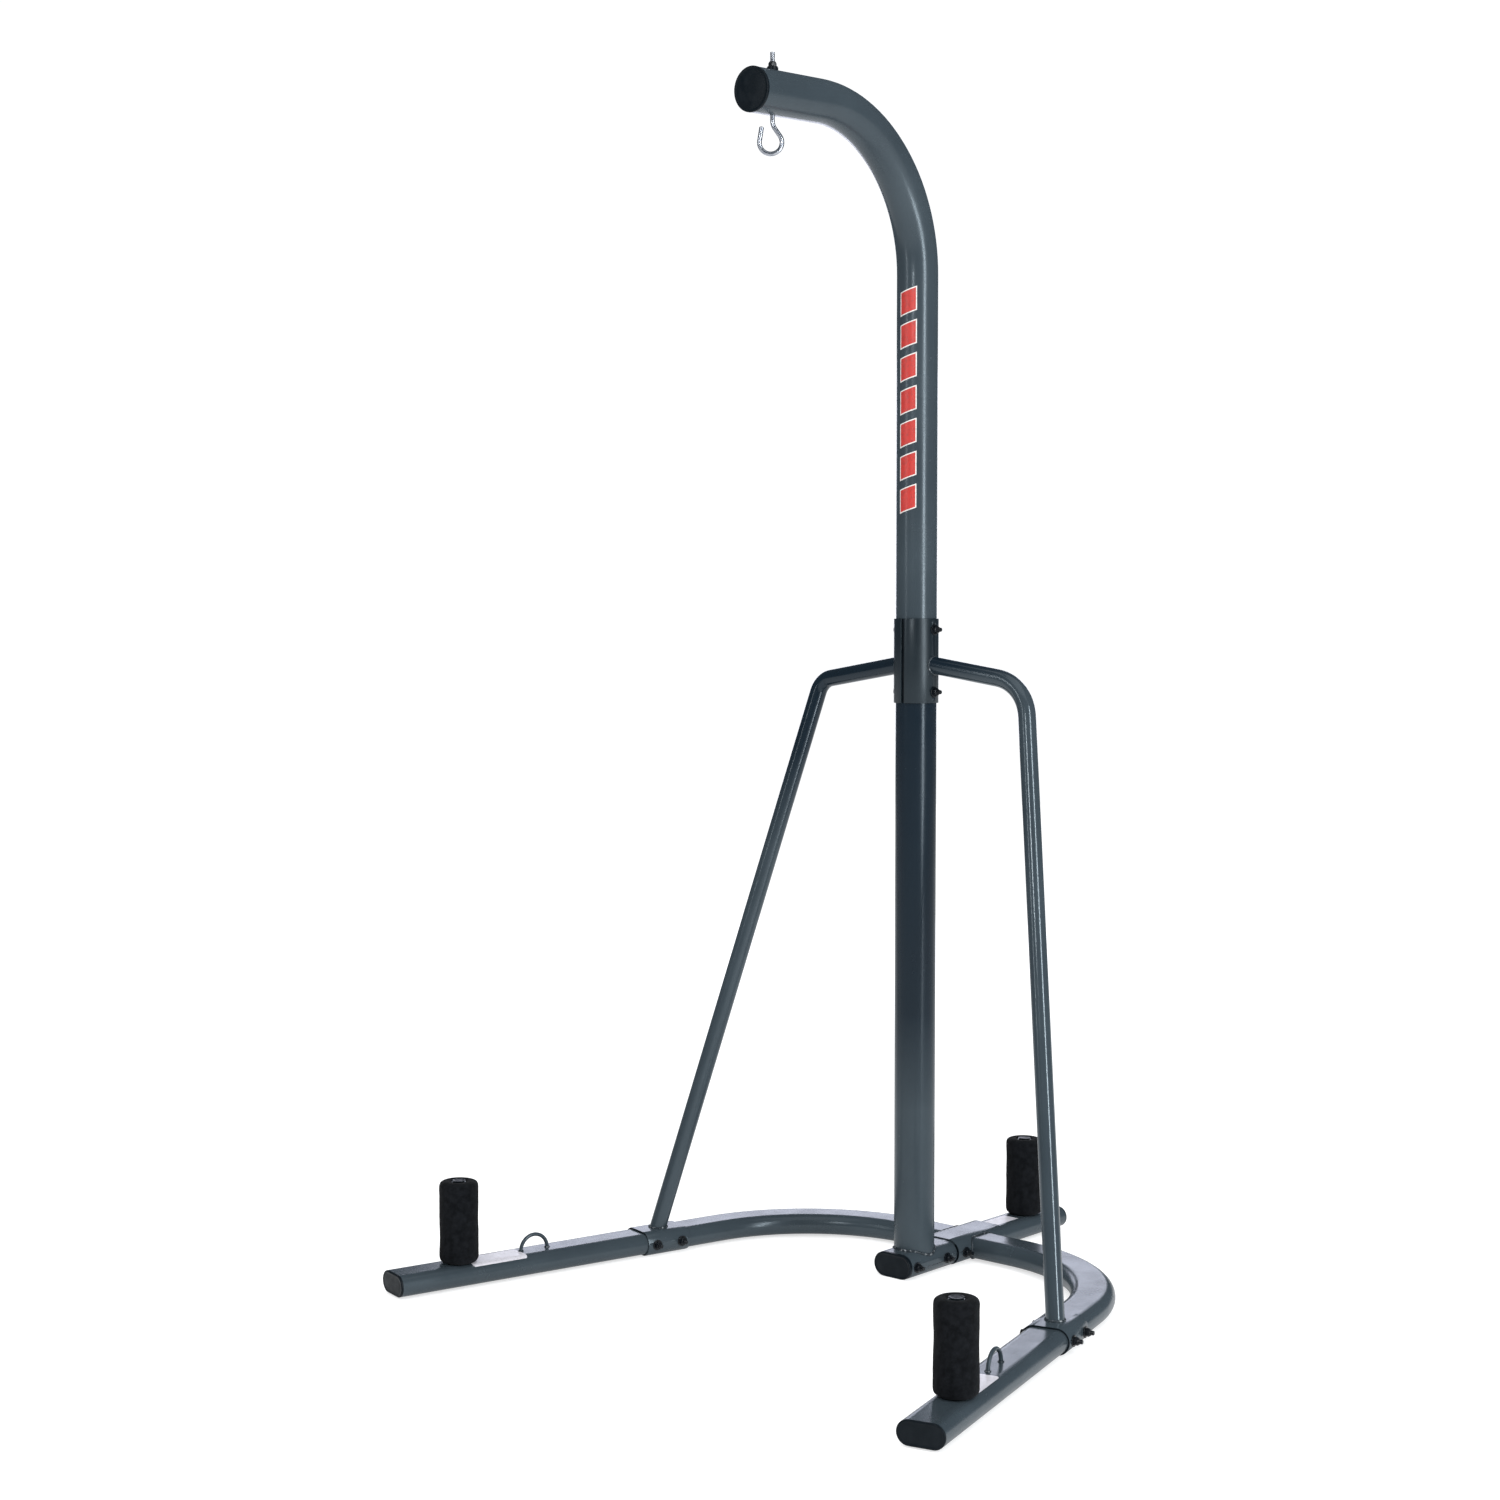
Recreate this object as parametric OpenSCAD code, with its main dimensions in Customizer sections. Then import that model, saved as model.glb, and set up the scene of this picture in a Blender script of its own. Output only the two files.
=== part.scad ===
// Free-standing heavy bag stand: a bent post on a splayed tube base, held by two braces.
// Millimetres, +Z up, -Y is the front, where the arm and both legs reach.
// The origin is on the floor, at the middle of the stand's bounding box.

/* [Post and arm] */
// Outer diameter of the post tube
post_d = 76; // [60:1:90]
// Wall of the post tube
post_wall = 2.5; // [2:0.5:4]
// Height at which the two post tubes meet, inside the collar
joint_z = 1148; // [900:1:1300]
// Height at which the post starts to bend forward
bend_z = 1858; // [1700:1:2000]
// Centreline radius of the arm's bend
bend_r = 270; // [200:1:350]
// Angle that the arm turns through
bend_angle = 93; // [85:1:100]
// Straight tube after the bend
arm_run = 174; // [120:1:250]
// Length of the inner tube that lines up the two post tubes
spigot_h = 200; // [160:1:300]

/* [Hook] */
// Diameter of the hook's rod; its threaded shank is a little thinner
hook_d = 8; // [6:0.5:12]
// Distance of the hook from the end of the bend
hook_at = 123; // [80:1:150]
// Centreline radius of the hook's loop
hook_loop_r = 19.3; // [15:0.1:30]
// Direction that the open loop faces, turned from the front
hook_turn = 41; // [0:1:90]

/* [Collar] */
// Height of the two collar shells
collar_h = 156; // [120:1:200]
// Wall of the collar shells
collar_wall = 3.2; // [2:0.1:5]
// Gap between the edges of the two shells
collar_gap = 6.5; // [2:0.5:12]
// Distance between the two collar bolts
collar_bolt_pitch = 115; // [90:1:130]

/* [Base tubes] */
// Width of the oval base tube
oval_w = 80; // [60:1:100]
// Height of the oval base tube
oval_h = 40; // [30:1:50]
// Wall of the oval base tube
oval_wall = 2; // [1.5:0.5:4]
// Wall of the sleeves that join the base tubes
sleeve_wall = 2.5; // [2:0.5:4]
// Angle of each leg outward from straight ahead
splay = 14; // [5:1:20]
// Distance of a leg's tip from the stand's centre plane
tip_x = 600; // [500:1:700]
// Distance of a leg's tip in front of the post
tip_y = 760; // [650:1:850]
// Distance along a leg from its tip to the middle of its joint
leg_joint_at = 564; // [500:1:620]
// Straight part of a rear tube, from the joint to its bend
rear_run = 135; // [80:1:160]
// Centreline radius of the rear tubes' bend
rear_r = 320; // [250:1:330]
// Length of the two leg sleeves
leg_sleeve_l = 94; // [80:1:120]
// Distance between the two bolts of a leg sleeve
leg_bolt_pitch = 56; // [40:1:70]
// Distance of the rail's rear end behind the post
tail_y = 448; // [400:1:500]
// Length of the hub that the rear tubes are welded to
hub_l = 152; // [130:1:180]
// Distance of the hub's front edge behind the post
hub_y = 80; // [78:1:90]

/* [Braces] */
// Outer diameter of the brace tube
brace_d = 32; // [25:1:40]
// Wall of the brace tube
brace_wall = 2; // [1.5:0.5:4]
// Height of the weld of a brace on the collar
brace_top_z = 1146; // [1120:1:1170]
// Distance of a brace's corner from the stand's centre plane
brace_corner_x = 238; // [200:1:300]
// Distance of a brace's corner behind the post's axis
brace_corner_y = 12; // [0:1:20]
// Height of a brace's corner
brace_corner_z = 1109; // [1080:1:1120]
// Centreline radius of the right brace's bend
brace_right_r = 86; // [20:1:110]
// Centreline radius of the left brace's bend, which is tighter
brace_left_r = 34; // [20:1:110]

/* [Weight pegs and tie rings] */
// Outer diameter of a peg
peg_d = 25.4; // [20:0.1:30]
// Distance of a leg's peg from the leg's tip
peg_at = 132; // [110:1:160]
// Distance of the rear peg behind the post
rear_peg_y = 358; // [320:1:400]
// Outer diameter of a foam sleeve
foam_d = 70; // [50:1:90]
// Length of a foam sleeve
foam_h = 152; // [120:1:180]
// Distance of a tie ring from the leg's tip
ring_at = 289; // [250:1:320]
// Centreline radius of a tie ring
ring_r = 28; // [20:1:35]
// Diameter of a tie ring's rod
ring_d = 7; // [5:0.5:8]

/* [Fasteners] */
// Diameter of the bolts
bolt_d = 8; // [6:1:10]
// Width of the bolt heads and nuts across the flats
hex_af = 13; // [10:1:17]
// Thickness of a bolt head
head_h = 5.5; // [4:0.5:7]
// Height of a lock nut
nut_h = 8; // [6:0.5:10]
// Diameter of the washers
washer_d = 20; // [16:1:24]
// Thickness of the washers
washer_h = 2; // [1.5:0.5:3]
// Bolt thread that stands out of a nut
bolt_spare = 6; // [1:1:10]

/* [Hidden] */
$fn = 96;
steel = "#474f55";
zinc = "#b9bcc0";
black = "#15161a";
foam = "#1b1c1e";

// Looseness of a tube in a sleeve, of a bolt in its hole, and of a running fit
slip = 0.5;
hole_slip = 0.25;
run_fit = 0.08;
// Length by which a cutting solid runs past what it cuts
past = 1;

// Base levels: sleeves stand on the floor and carry the tubes
sleeve_w = oval_w + 2 * (slip + sleeve_wall);
sleeve_h = oval_h + 2 * (slip + sleeve_wall);
tube_z = sleeve_h / 2;
tube_top = tube_z + oval_h / 2;
sleeve_top = sleeve_h;
hub_w = sleeve_w + 6;
hub_h = sleeve_h + 2;
cap_h = 4;

// Rear tubes: the middle of each bend, and where the straight rear part lies
rear_bend_at = leg_joint_at + rear_run;
rear_cx = tip_x - rear_bend_at * sin(splay) - rear_r * cos(splay);
rear_cy = -tip_y + rear_bend_at * cos(splay) - rear_r * sin(splay);
rear_y = rear_cy + rear_r;

// Post foot: from just behind the front cap to the hub
foot_y = -60;
foot_bolt_y = 46;
front_cap_h = 8;
hub_bolts_y = [hub_y + 22, hub_y + hub_l - 19];

// Collar and braces
collar_ri = post_d / 2 + 0.3;
collar_r = collar_ri + collar_wall;
brace_foot = [tip_x - leg_joint_at * sin(splay), -tip_y + leg_joint_at * cos(splay), sleeve_top];
brace_start = [0, 0, brace_top_z];
brace_corner = [brace_corner_x, brace_corner_y, brace_corner_z];

// Arm: the end of the bend, and the direction of the straight run that follows it
bend_end = [0, -bend_r * (1 - cos(bend_angle)), bend_z + bend_r * sin(bend_angle)];
arm_dir = [0, -sin(bend_angle), cos(bend_angle)];
arm_cap_h = 5;
shank_d = hook_d - 0.2;
hook_y = bend_end[1] + hook_at * arm_dir[1];
arm_z = bend_end[2] + hook_at * arm_dir[2];
arm_crest = arm_z + post_d / 2 / sin(bend_angle);
hook_top = arm_crest + 30;
seat_h = 4;
hook_nut_z = arm_crest + seat_h + washer_h;

// Hook loop: the rod leans out at the lead angle and wraps round the loop to the tip
lead_angle = 35;
lead_r = 25;
wrap_angle = 224;
hook_tip = 22;
loop_x = -3;
loop_drop = 46;
loop_z = arm_z - post_d / 2 - loop_drop;
lead_run = (loop_x + hook_loop_r * cos(lead_angle) - lead_r * (1 - cos(lead_angle))) / sin(lead_angle);
lead_z = loop_z + hook_loop_r * sin(lead_angle) + lead_run * cos(lead_angle) + lead_r * sin(lead_angle);

// Pegs
peg_top = tube_top + foam_h - 3;
peg_cap_h = 3;
foam_edge_r = 9;
foam_lift = 0.3;

// Foremost and rearmost points set the post's place behind the origin
front_reach = tip_y + oval_w / 2 * sin(splay) + cap_h * cos(splay);
rear_reach = tail_y + cap_h;
post_y = (front_reach - rear_reach) / 2;

// ---------- Shared shapes ----------

// Moves a shape drawn round the post's axis to its place behind the origin
module at_post() {
    translate([0, post_y, 0]) children();
}

// A leg's own frame: +Y runs back along the leg from its tip, +X is its right side
module on_leg(side) {
    at_post() translate([side * tip_x, -tip_y, 0]) rotate([0, 0, side * splay]) children();
}

// Oval outline: flat above and below, half round at both sides
module oval(w, h) {
    square([w - h, h], center = true);
    for (side = [-1, 1])
        translate([side * (w - h) / 2, 0]) circle(d = h);
}

module oval_ring(w, h, wall) {
    difference() {
        oval(w, h);
        oval(w - 2 * wall, h - 2 * wall);
    }
}

// Straight oval tube from y0 to y1 at height z
module oval_tube(w, h, wall, y0, y1, z) {
    translate([0, y1, z]) rotate([90, 0, 0]) linear_extrude(y1 - y0) oval_ring(w, h, wall);
}

module oval_bar(w, h, y0, y1, z) {
    translate([0, y1, z]) rotate([90, 0, 0]) linear_extrude(y1 - y0) oval(w, h);
}

// Bar of the child's outline: a straight run, a bend round +Z that starts on +X, and another run.
// The bend is swept a little too far and cut off square where the second run takes over, and both
// runs are turned by the same half angle, so that all three meet flush.
module bent_bar(bend_radius, angle, run_before, run_after) {
    reach = bend_radius / 2;
    rotate([0, 0, angle / 2]) {
        rotate([0, 0, -angle / 2]) translate([bend_radius, 0, 0]) rotate([90, 0, 0])
            linear_extrude(run_before) children();
        difference() {
            rotate([0, 0, -angle / 2]) rotate_extrude(angle = angle + 1) translate([bend_radius, 0]) children();
            rotate([0, 0, angle / 2]) translate([bend_radius - reach, 0, -reach])
                cube([2 * reach, reach, 2 * reach]);
        }
        rotate([0, 0, angle / 2]) translate([bend_radius, run_after, 0]) rotate([90, 0, 0])
            linear_extrude(run_after) children();
    }
}

// Lays +Z along +X, for bolts that cross a tube
module along_x() {
    rotate([0, 90, 0]) children();
}

// Cross hole along X through whatever it is taken from
module cross_hole(y, z, half_length) {
    translate([-half_length, y, z]) along_x() cylinder(d = bolt_d + 2 * hole_slip, h = 2 * half_length);
}

// Bolt along X whose washers bear at x = -half and x = half, its head at -X
module cross_bolt(half) {
    under_head = -half - washer_h;
    translate([under_head - head_h, 0, 0]) along_x() cylinder(d = hex_af / cos(30), h = head_h, $fn = 6);
    translate([under_head - 0.5, 0, 0]) along_x()
        cylinder(d = bolt_d, h = 2 * (half + washer_h) + nut_h + bolt_spare + 0.5);
}

module cross_washers(half) {
    for (x = [-half - washer_h, half])
        translate([x, 0, 0]) along_x() difference() {
            cylinder(d = washer_d, h = washer_h);
            translate([0, 0, -past]) cylinder(d = bolt_d + 2 * hole_slip, h = washer_h + 2 * past);
        }
}

// Lock nut for a thread of diameter d: a hexagon under a round collar
module lock_nut(d) {
    difference() {
        union() {
            cylinder(d = hex_af / cos(30), h = nut_h * 0.72, $fn = 6);
            cylinder(d = hex_af * 0.92, h = nut_h);
        }
        translate([0, 0, -past]) cylinder(d = d + 0.02, h = nut_h + 2 * past);
    }
}

module cross_nut(half) {
    translate([half + washer_h, 0, 0]) along_x() lock_nut(bolt_d);
}

// ---------- Post and arm ----------

// Solid round bar along the post's upper half: straight, bend, straight
module arm_bar(r, z0, run) {
    translate([0, -bend_r, bend_z]) rotate([90, 0, 90])
        bent_bar(bend_r, bend_angle, bend_z - z0, run) circle(r = r);
}

// The lower post's foot is coped to sit on the round-sided foot sleeve
module lower_post() {
    color(steel) at_post() difference() {
        translate([0, 0, tube_z]) cylinder(d = post_d, h = joint_z - 0.5 - tube_z);
        cylinder(d = post_d - 2 * post_wall, h = joint_z);
        oval_bar(sleeve_w, sleeve_h, -post_d, post_d, tube_z);
        cross_hole(0, joint_z - collar_bolt_pitch / 2, post_d);
    }
}

module gooseneck() {
    color(steel) at_post() difference() {
        arm_bar(post_d / 2, joint_z + 0.5, arm_run);
        arm_bar(post_d / 2 - post_wall, joint_z - past, arm_run + past);
        cross_hole(0, joint_z + collar_bolt_pitch / 2, post_d);
        translate([0, hook_y, arm_z - post_d]) cylinder(d = shank_d + 2 * run_fit, h = 2 * post_d);
    }
}

module post_spigot() {
    spigot_d = post_d - 2 * post_wall - 2 * slip;
    color(steel) at_post() difference() {
        translate([0, 0, joint_z - spigot_h / 2]) cylinder(d = spigot_d, h = spigot_h);
        translate([0, 0, joint_z - spigot_h]) cylinder(d = spigot_d - 2 * post_wall, h = 2 * spigot_h);
        for (side = [-1, 1])
            cross_hole(0, joint_z + side * collar_bolt_pitch / 2, post_d);
    }
}

module arm_cap() {
    color(black) at_post() translate(bend_end) rotate([bend_angle, 0, 0]) {
        translate([0, 0, arm_run]) cylinder(d = post_d + 1, h = arm_cap_h);
        translate([0, 0, arm_run - 14]) cylinder(d = post_d - 2 * post_wall - 2 * slip, h = 14.5);
    }
}

// ---------- Hook ----------

// Moves a shape drawn round the hook's rod to its place in the arm
module at_hook() {
    at_post() translate([0, hook_y, 0]) rotate([0, 0, hook_turn]) children();
}

// Shank and lead bend down through the arm, then the rod of the lead, the loop and the tip
module hook() {
    half_lead = lead_run / 2;
    color(zinc) at_hook() translate([lead_r, 0, lead_z]) rotate([90, 180, 0]) {
        bent_bar(lead_r, lead_angle, hook_top - lead_z, half_lead + past) circle(d = shank_d);
        rotate([0, 0, lead_angle]) translate([lead_r + hook_loop_r, lead_run, 0]) mirror([1, 0, 0])
            bent_bar(hook_loop_r, wrap_angle, half_lead, hook_tip) circle(d = hook_d);
    }
}

module hook_nut() {
    color(black) at_hook() translate([0, 0, hook_nut_z]) lock_nut(shank_d);
}

module hook_washer() {
    color(black) at_hook() translate([0, 0, arm_crest + seat_h]) difference() {
        cylinder(d = washer_d - 2, h = washer_h);
        translate([0, 0, -past]) cylinder(d = hook_d + 2 * hole_slip, h = washer_h + 2 * past);
    }
}

// Seat that fits the round tube below and gives the hook's washer a flat face
module hook_seat() {
    color(black) at_post() difference() {
        translate([0, hook_y, arm_crest - 6]) cylinder(d = washer_d, h = 6 + seat_h);
        translate(bend_end) rotate([bend_angle, 0, 0]) cylinder(d = post_d, h = arm_run);
        translate([0, hook_y, arm_crest - 10]) cylinder(d = shank_d + 2 * run_fit, h = 20 + seat_h);
    }
}

// ---------- Collar ----------

module collar_shell(side) {
    color(steel) at_post() difference() {
        translate([0, 0, joint_z - collar_h / 2]) cylinder(r = collar_r, h = collar_h);
        translate([0, 0, joint_z - collar_h]) cylinder(r = collar_ri, h = 2 * collar_h);
        translate([-side * post_d + side * collar_gap / 2, 0, joint_z])
            cube([2 * post_d, 2 * post_d, 2 * collar_h], center = true);
        for (end = [-1, 1])
            cross_hole(0, joint_z + end * collar_bolt_pitch / 2, post_d);
    }
}

module collar_left() {
    collar_shell(-1);
}

module collar_right() {
    collar_shell(1);
}

module at_collar_bolts() {
    at_post() for (end = [-1, 1])
        translate([0, 0, joint_z + end * collar_bolt_pitch / 2]) children();
}

module collar_bolts() {
    color(black) at_collar_bolts() cross_bolt(collar_r);
}

module collar_washers() {
    color(black) at_collar_bolts() cross_washers(collar_r);
}

module collar_nuts() {
    color(black) at_collar_bolts() cross_nut(collar_r);
}

// ---------- Braces ----------

function unit(v) = v / norm(v);

// Rotation that lays +X, +Y and +Z along three square directions
module along_axes(x, y, z) {
    multmatrix([
        [x[0], y[0], z[0], 0],
        [x[1], y[1], z[1], 0],
        [x[2], y[2], z[2], 0],
        [0, 0, 0, 1]
    ]) children();
}

// Solid round bar from the collar to the leg sleeve, with its corner bent round
module brace_bar(radius, bend_r) {
    beyond = brace_foot + unit(brace_foot - brace_corner) * brace_d;
    out = unit(brace_start - brace_corner);
    on = unit(beyond - brace_corner);
    turn = 180 - acos(out * on);
    tangent = bend_r * tan(turn / 2);
    side = cross(unit(cross(out, on)), out);
    translate(brace_corner + out * tangent + side * bend_r) along_axes(-side, -out, cross(side, out))
        bent_bar(bend_r, turn, norm(brace_start - brace_corner) - tangent,
            norm(beyond - brace_corner) - tangent) circle(r = radius);
}

module brace(bend_r) {
    difference() {
        brace_bar(brace_d / 2, bend_r);
        brace_bar(brace_d / 2 - brace_wall, bend_r);
        translate([0, 0, joint_z - collar_h]) cylinder(r = collar_r, h = 2 * collar_h);
        translate([brace_foot[0], brace_foot[1], sleeve_top - brace_d])
            cube([4 * brace_d, 4 * brace_d, 2 * brace_d], center = true);
    }
}

module brace_left() {
    color(steel) at_post() mirror([1, 0, 0]) brace(brace_left_r);
}

module brace_right() {
    color(steel) at_post() brace(brace_right_r);
}

// ---------- Legs and their sleeves ----------

module leg_bolt_places() {
    for (end = [-1, 1])
        translate([0, leg_joint_at + end * leg_bolt_pitch / 2, tube_z]) children();
}

module leg_holes() {
    leg_bolt_places() cross_hole(0, 0, oval_w);
}

module leg_sleeve(side) {
    color(steel) on_leg(side) difference() {
        oval_tube(sleeve_w, sleeve_h, sleeve_wall,
            leg_joint_at - leg_sleeve_l / 2, leg_joint_at + leg_sleeve_l / 2, tube_z);
        leg_holes();
    }
}

module leg_sleeve_left() {
    leg_sleeve(-1);
}

module leg_sleeve_right() {
    leg_sleeve(1);
}

module leg(side) {
    color(steel) on_leg(side) difference() {
        oval_tube(oval_w, oval_h, oval_wall, 0, leg_joint_at - 0.5, tube_z);
        leg_holes();
    }
}

module leg_left() {
    leg(-1);
}

module leg_right() {
    leg(1);
}

// Cap with a plug, closing the end of an oval tube that faces -Y at y = 0
module oval_cap() {
    plug = 16;
    oval_bar(oval_w, oval_h, -cap_h, 0, tube_z);
    oval_bar(oval_w - 2 * (oval_wall + slip), oval_h - 2 * (oval_wall + slip), -0.5, plug, tube_z);
}

module leg_cap_left() {
    color(black) on_leg(-1) oval_cap();
}

module leg_cap_right() {
    color(black) on_leg(1) oval_cap();
}

module at_leg_bolts() {
    for (side = [-1, 1])
        on_leg(side) leg_bolt_places() children();
}

module leg_bolts() {
    color(black) at_leg_bolts() cross_bolt(sleeve_w / 2);
}

module leg_washers() {
    color(black) at_leg_bolts() cross_washers(sleeve_w / 2);
}

module leg_nuts() {
    color(black) at_leg_bolts() cross_nut(sleeve_w / 2);
}

// ---------- Rear tubes, hub, rail and post foot ----------

module hub_solid() {
    oval_bar(hub_w, hub_h, hub_y, hub_y + hub_l, hub_h / 2);
}

module base_holes() {
    for (y = concat([-foot_bolt_y, foot_bolt_y], hub_bolts_y))
        cross_hole(y, tube_z, oval_w);
}

// Solid oval bar of a rear tube: along the leg, round the bend and across to the hub
module rear_bar(w, h, run) {
    translate([rear_cx, rear_cy, tube_z]) rotate([0, 0, splay])
        bent_bar(rear_r, 90 - splay, run, rear_cx) oval(w, h);
}

module right_rear_tube() {
    difference() {
        rear_bar(oval_w, oval_h, rear_run - 0.5);
        rear_bar(oval_w - 2 * oval_wall, oval_h - 2 * oval_wall, rear_run + past);
        hub_solid();
        translate([tip_x, -tip_y, 0]) rotate([0, 0, splay]) leg_holes();
    }
}

module rear_tube_left() {
    color(steel) at_post() mirror([1, 0, 0]) right_rear_tube();
}

module rear_tube_right() {
    color(steel) at_post() right_rear_tube();
}

module hub() {
    color(steel) at_post() difference() {
        hub_solid();
        oval_bar(oval_w + 2 * slip, oval_h + 2 * slip, hub_y - past, hub_y + hub_l + past, tube_z);
        base_holes();
    }
}

module rail() {
    color(steel) at_post() difference() {
        oval_tube(oval_w, oval_h, oval_wall, foot_y, tail_y, tube_z);
        base_holes();
    }
}

module post_foot() {
    color(steel) at_post() difference() {
        oval_tube(sleeve_w, sleeve_h, sleeve_wall, foot_y, hub_y - 2, tube_z);
        base_holes();
    }
}

module front_cap() {
    color(black) at_post() {
        oval_bar(sleeve_w, sleeve_h, foot_y - front_cap_h, foot_y, tube_z);
        oval_bar(oval_w - 2 * (oval_wall + slip), oval_h - 2 * (oval_wall + slip), foot_y - 0.5, foot_y + 8, tube_z);
    }
}

module tail_cap() {
    color(black) at_post() translate([0, tail_y, 0]) mirror([0, 1, 0]) oval_cap();
}

// Puts the first child at the bolts of the post foot, the second at those of the hub
module at_base_bolts() {
    for (y = [-foot_bolt_y, foot_bolt_y])
        at_post() translate([0, y, tube_z]) children(0);
    for (y = hub_bolts_y)
        at_post() translate([0, y, tube_z]) children(1);
}

module base_bolts() {
    color(black) at_base_bolts() {
        cross_bolt(sleeve_w / 2);
        cross_bolt(hub_w / 2);
    }
}

module base_washers() {
    color(black) at_base_bolts() {
        cross_washers(sleeve_w / 2);
        cross_washers(hub_w / 2);
    }
}

module base_nuts() {
    color(black) at_base_bolts() {
        cross_nut(sleeve_w / 2);
        cross_nut(hub_w / 2);
    }
}

// ---------- Pegs, foam sleeves and tie rings ----------

module at_left_peg() {
    on_leg(-1) translate([0, peg_at, 0]) children();
}

module at_right_peg() {
    on_leg(1) translate([0, peg_at, 0]) children();
}

module at_rear_peg() {
    at_post() translate([0, rear_peg_y, 0]) children();
}

module peg() {
    color(steel) translate([0, 0, tube_top]) difference() {
        cylinder(d = peg_d, h = peg_top - tube_top);
        translate([0, 0, -past]) cylinder(d = peg_d - 2 * oval_wall, h = peg_top);
    }
}

module peg_cap() {
    color(black) {
        translate([0, 0, peg_top]) cylinder(d = peg_d, h = peg_cap_h);
        translate([0, 0, peg_top - 12]) cylinder(d = peg_d - 2 * (oval_wall + slip), h = 12.5);
    }
}

// Sleeve of soft foam with rounded ends and a bore that runs on the peg
module foam_sleeve() {
    inner = peg_d / 2 + run_fit;
    outer = foam_d / 2;
    color(foam) translate([0, 0, tube_top + foam_lift]) rotate_extrude() {
        translate([inner, 0]) square([outer - foam_edge_r - inner, foam_h]);
        translate([inner, foam_edge_r]) square([outer - inner, foam_h - 2 * foam_edge_r]);
        for (z = [foam_edge_r, foam_h - foam_edge_r])
            translate([outer - foam_edge_r, z]) circle(r = foam_edge_r);
    }
}

module tie_ring() {
    color(steel) translate([0, ring_at, tube_top]) rotate([90, 0, 90])
        rotate_extrude(angle = 180) translate([ring_r, 0]) circle(d = ring_d);
}

module peg_left() {
    at_left_peg() peg();
}

module peg_right() {
    at_right_peg() peg();
}

module peg_rear() {
    at_rear_peg() peg();
}

module peg_cap_left() {
    at_left_peg() peg_cap();
}

module peg_cap_right() {
    at_right_peg() peg_cap();
}

module peg_cap_rear() {
    at_rear_peg() peg_cap();
}

module foam_left() {
    at_left_peg() foam_sleeve();
}

module foam_right() {
    at_right_peg() foam_sleeve();
}

module foam_rear() {
    at_rear_peg() foam_sleeve();
}

module tie_ring_left() {
    on_leg(-1) tie_ring();
}

module tie_ring_right() {
    on_leg(1) tie_ring();
}

// ---------- Output ----------

lower_post();
gooseneck();
post_spigot();
arm_cap();
hook();
hook_nut();
hook_washer();
hook_seat();
collar_left();
collar_right();
collar_bolts();
collar_washers();
collar_nuts();
brace_left();
brace_right();
leg_sleeve_left();
leg_sleeve_right();
leg_left();
leg_right();
leg_cap_left();
leg_cap_right();
leg_bolts();
leg_washers();
leg_nuts();
rear_tube_left();
rear_tube_right();
hub();
rail();
post_foot();
front_cap();
tail_cap();
base_bolts();
base_washers();
base_nuts();
peg_left();
peg_right();
peg_rear();
peg_cap_left();
peg_cap_right();
peg_cap_rear();
foam_left();
foam_right();
foam_rear();
tie_ring_left();
tie_ring_right();
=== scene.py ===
"""Looks of a free-standing heavy bag stand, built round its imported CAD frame. Metres, +Z up, -Y the front."""

import math

import bmesh
import bpy
from mathutils import Matrix, Vector, noise


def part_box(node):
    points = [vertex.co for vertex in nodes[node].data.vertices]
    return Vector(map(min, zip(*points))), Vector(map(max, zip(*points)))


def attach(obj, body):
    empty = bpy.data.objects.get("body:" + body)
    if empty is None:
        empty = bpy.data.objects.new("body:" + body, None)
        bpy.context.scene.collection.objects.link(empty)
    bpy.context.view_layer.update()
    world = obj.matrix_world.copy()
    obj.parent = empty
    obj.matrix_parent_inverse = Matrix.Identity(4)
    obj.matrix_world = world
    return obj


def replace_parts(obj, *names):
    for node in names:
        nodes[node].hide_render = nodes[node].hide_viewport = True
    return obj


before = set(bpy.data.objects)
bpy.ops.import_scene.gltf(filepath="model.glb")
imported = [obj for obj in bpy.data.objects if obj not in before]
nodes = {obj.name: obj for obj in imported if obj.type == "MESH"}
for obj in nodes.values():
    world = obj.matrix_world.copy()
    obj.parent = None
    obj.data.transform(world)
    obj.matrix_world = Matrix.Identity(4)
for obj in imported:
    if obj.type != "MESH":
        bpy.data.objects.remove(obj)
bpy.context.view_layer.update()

MM = 0.001
SIDES = ((-1, "left"), (1, "right"))

# ---------- Places and sizes, from the frame ----------


def middle(node):
    low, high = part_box(node)
    return (Vector(low) + Vector(high)) / 2


def size(node):
    low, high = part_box(node)
    return Vector(high) - Vector(low)


# Post and collar
POST_Y = middle("lower_post").y
POST_R = size("lower_post").x / 2
COLLAR_R = 41.5 * MM
COLLAR_Z = middle("collar_left").z
# Arm: where its bend ends, its straight run and its droop; the mouth of the hook's hole under it
ARM_BEND_END = Vector((0, -123.35, 2127.63)) * MM
ARM_RUN, ARM_R, ARM_DROOP = 174 * MM, 38 * MM, math.radians(3)
ARM_UNDER = 2083.4 * MM
# Hook's tip and the way it points
HOOK_TIP = Vector((-14.053, -258.399, 2061.942)) * MM
HOOK_TIP_HEADING = Vector((0.1181, 0.1026, 0.9877)).normalized()
# Right brace's axis: its start inside the post, its corner and its foot. The left one mirrors it.
BRACE_R = 16 * MM
BRACE_HEAD = Vector((0, POST_Y, 1146 * MM))
BRACE_CORNER = Vector((238 * MM, POST_Y + 12 * MM, 1109 * MM))
BRACE_FOOT = Vector((463.56 * MM, POST_Y - 212.75 * MM, 46 * MM))
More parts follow.
